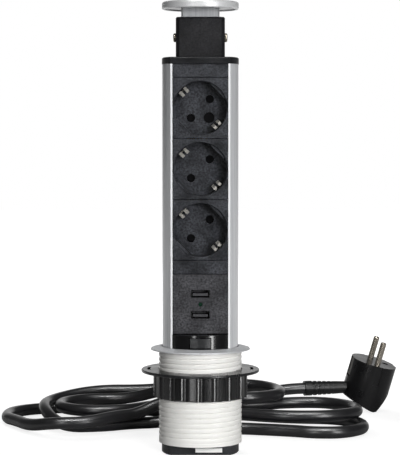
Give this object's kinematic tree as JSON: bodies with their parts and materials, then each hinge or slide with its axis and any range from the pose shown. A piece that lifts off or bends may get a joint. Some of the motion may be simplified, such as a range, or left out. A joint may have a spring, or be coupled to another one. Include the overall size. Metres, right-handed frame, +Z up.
{
  "type": "pop up desk socket",
  "caption": "Pop up desk socket: a flat-fronted aluminium tower with round mains sockets and charging ports slides in a clamped collar.",
  "frame": {"origin": "on the tower's axis, on the surface that the raised tower stands on", "axes": "+Z up the tower, sockets face -Y"},
  "size_m": [0.3188, 0.2539, 0.3216],
  "materials": {
    "satin_aluminium": "fine brushed, anodised",
    "silver_paint": "satin silver",
    "charcoal_plastic": "fine matt texture",
    "black_plastic": "matt",
    "gloss_black": "glossy",
    "white_plastic": "satin",
    "paper_white": "label film",
    "grey_plastic": "matt",
    "zinc_steel": "zinc plated",
    "nickel": "nickel plated",
    "brass_strip": "bright",
    "board_green": "solder resist",
    "clear_light": "clear",
    "cord_black": "matt"
  },
  "bodies": {
    "collar": {"flange_ring": "silver_paint", "threaded_tube": "white_plastic"},
    "tower": {"cap_disc": "silver_paint", "neck": "silver_paint", "cap_screws": "zinc_steel", "head_box": "black_plastic", "head_screws": "zinc_steel", "top_plate": "silver_paint", "top_plate_screws": "zinc_steel", "tower_profile": "satin_aluminium", "base_cap": "charcoal_plastic", "base_screws": "zinc_steel", "top_blank": "charcoal_plastic", "middle_blank": "charcoal_plastic", "lower_blank": "charcoal_plastic", "live_busbar": "brass_strip", "neutral_busbar": "brass_strip", "earth_busbar": "brass_strip", "usb_faceplate": "charcoal_plastic", "usb_shell_upper": "nickel", "usb_shell_lower": "nickel", "usb_tongue_upper": "grey_plastic", "usb_tongue_lower": "grey_plastic", "charger_board": "board_green", "charger_transformer": "grey_plastic", "charger_capacitors": "gloss_black", "led_pipe": "clear_light", "latch_block": "gloss_black", "latch_spring": "zinc_steel", "live_lead": "cord_black", "neutral_lead": "grey_plastic", "earth_lead": "grey_plastic", "cord_clamp": "black_plastic", "clamp_screws": "zinc_steel", "cord_grommet": "cord_black", "cord_exit": "cord_black", "cord_coil": "cord_black", "cord_lead": "cord_black", "plug_boot": "cord_black", "plug_body": "gloss_black", "plug_pins": "nickel", "plug_earth_contacts": "nickel", "blank_label": "paper_white", "socket_insert_1": "charcoal_plastic", "earth_strap_1": "nickel", "contact_carrier_1": "grey_plastic", "socket_insert_2": "charcoal_plastic", "earth_strap_2": "nickel", "contact_carrier_2": "grey_plastic", "socket_insert_3": "charcoal_plastic", "earth_strap_3": "nickel", "contact_carrier_3": "grey_plastic"},
    "latch_button": {"latch_button": "black_plastic", "latch_clip": "zinc_steel"},
    "clamp_ring": {"clamp_ring": "black_plastic"},
    "ring_nut": {"ring_nut": "black_plastic"},
    "shutter_1": {"shutter_1": "grey_plastic"},
    "shutter_2": {"shutter_2": "grey_plastic"},
    "shutter_3": {"shutter_3": "grey_plastic"}
  },
  "joints": [
    {"name": "tower_slide", "type": "slide", "parent": "collar", "child": "tower", "axis": [0, 0, 1], "range_m": [-0.2439, 0]},
    {"name": "latch_press", "type": "slide", "parent": "tower", "child": "latch_button", "axis": [0, 1, 0], "range_m": [0, 0.0025], "stiffness_N_per_m": 500, "springref_m": -0.001, "deforming": ["latch_spring"]},
    {"name": "nut_travel", "type": "slide", "parent": "collar", "child": "clamp_ring", "axis": [0, 0, 1], "range_m": [-0.0245, 0.01225]},
    {"name": "nut_turn", "type": "hinge", "parent": "clamp_ring", "child": "ring_nut", "pos_m": [0, 0, 0.048], "axis": [0, 0, 1], "range_deg": [-2520.5, 1260.5]},
    {"name": "shutter_turn_1", "type": "hinge", "parent": "tower", "child": "shutter_1", "pos_m": [0, 0.0049, 0.2461], "axis": [0, 1, 0], "range_deg": [0, 50], "stiffness_Nm_per_rad": 0.002, "springref_deg": -11.46},
    {"name": "shutter_turn_2", "type": "hinge", "parent": "tower", "child": "shutter_2", "pos_m": [0, 0.0049, 0.2031], "axis": [0, 1, 0], "range_deg": [0, 50], "stiffness_Nm_per_rad": 0.002, "springref_deg": -11.46},
    {"name": "shutter_turn_3", "type": "hinge", "parent": "tower", "child": "shutter_3", "pos_m": [0, 0.0049, 0.1601], "axis": [0, 1, 0], "range_deg": [0, 50], "stiffness_Nm_per_rad": 0.002, "springref_deg": -11.46}
  ],
  "couplings": [
    {"joint": "nut_turn", "follows": "nut_travel", "rad_per_m": 1795.2}
  ]
}
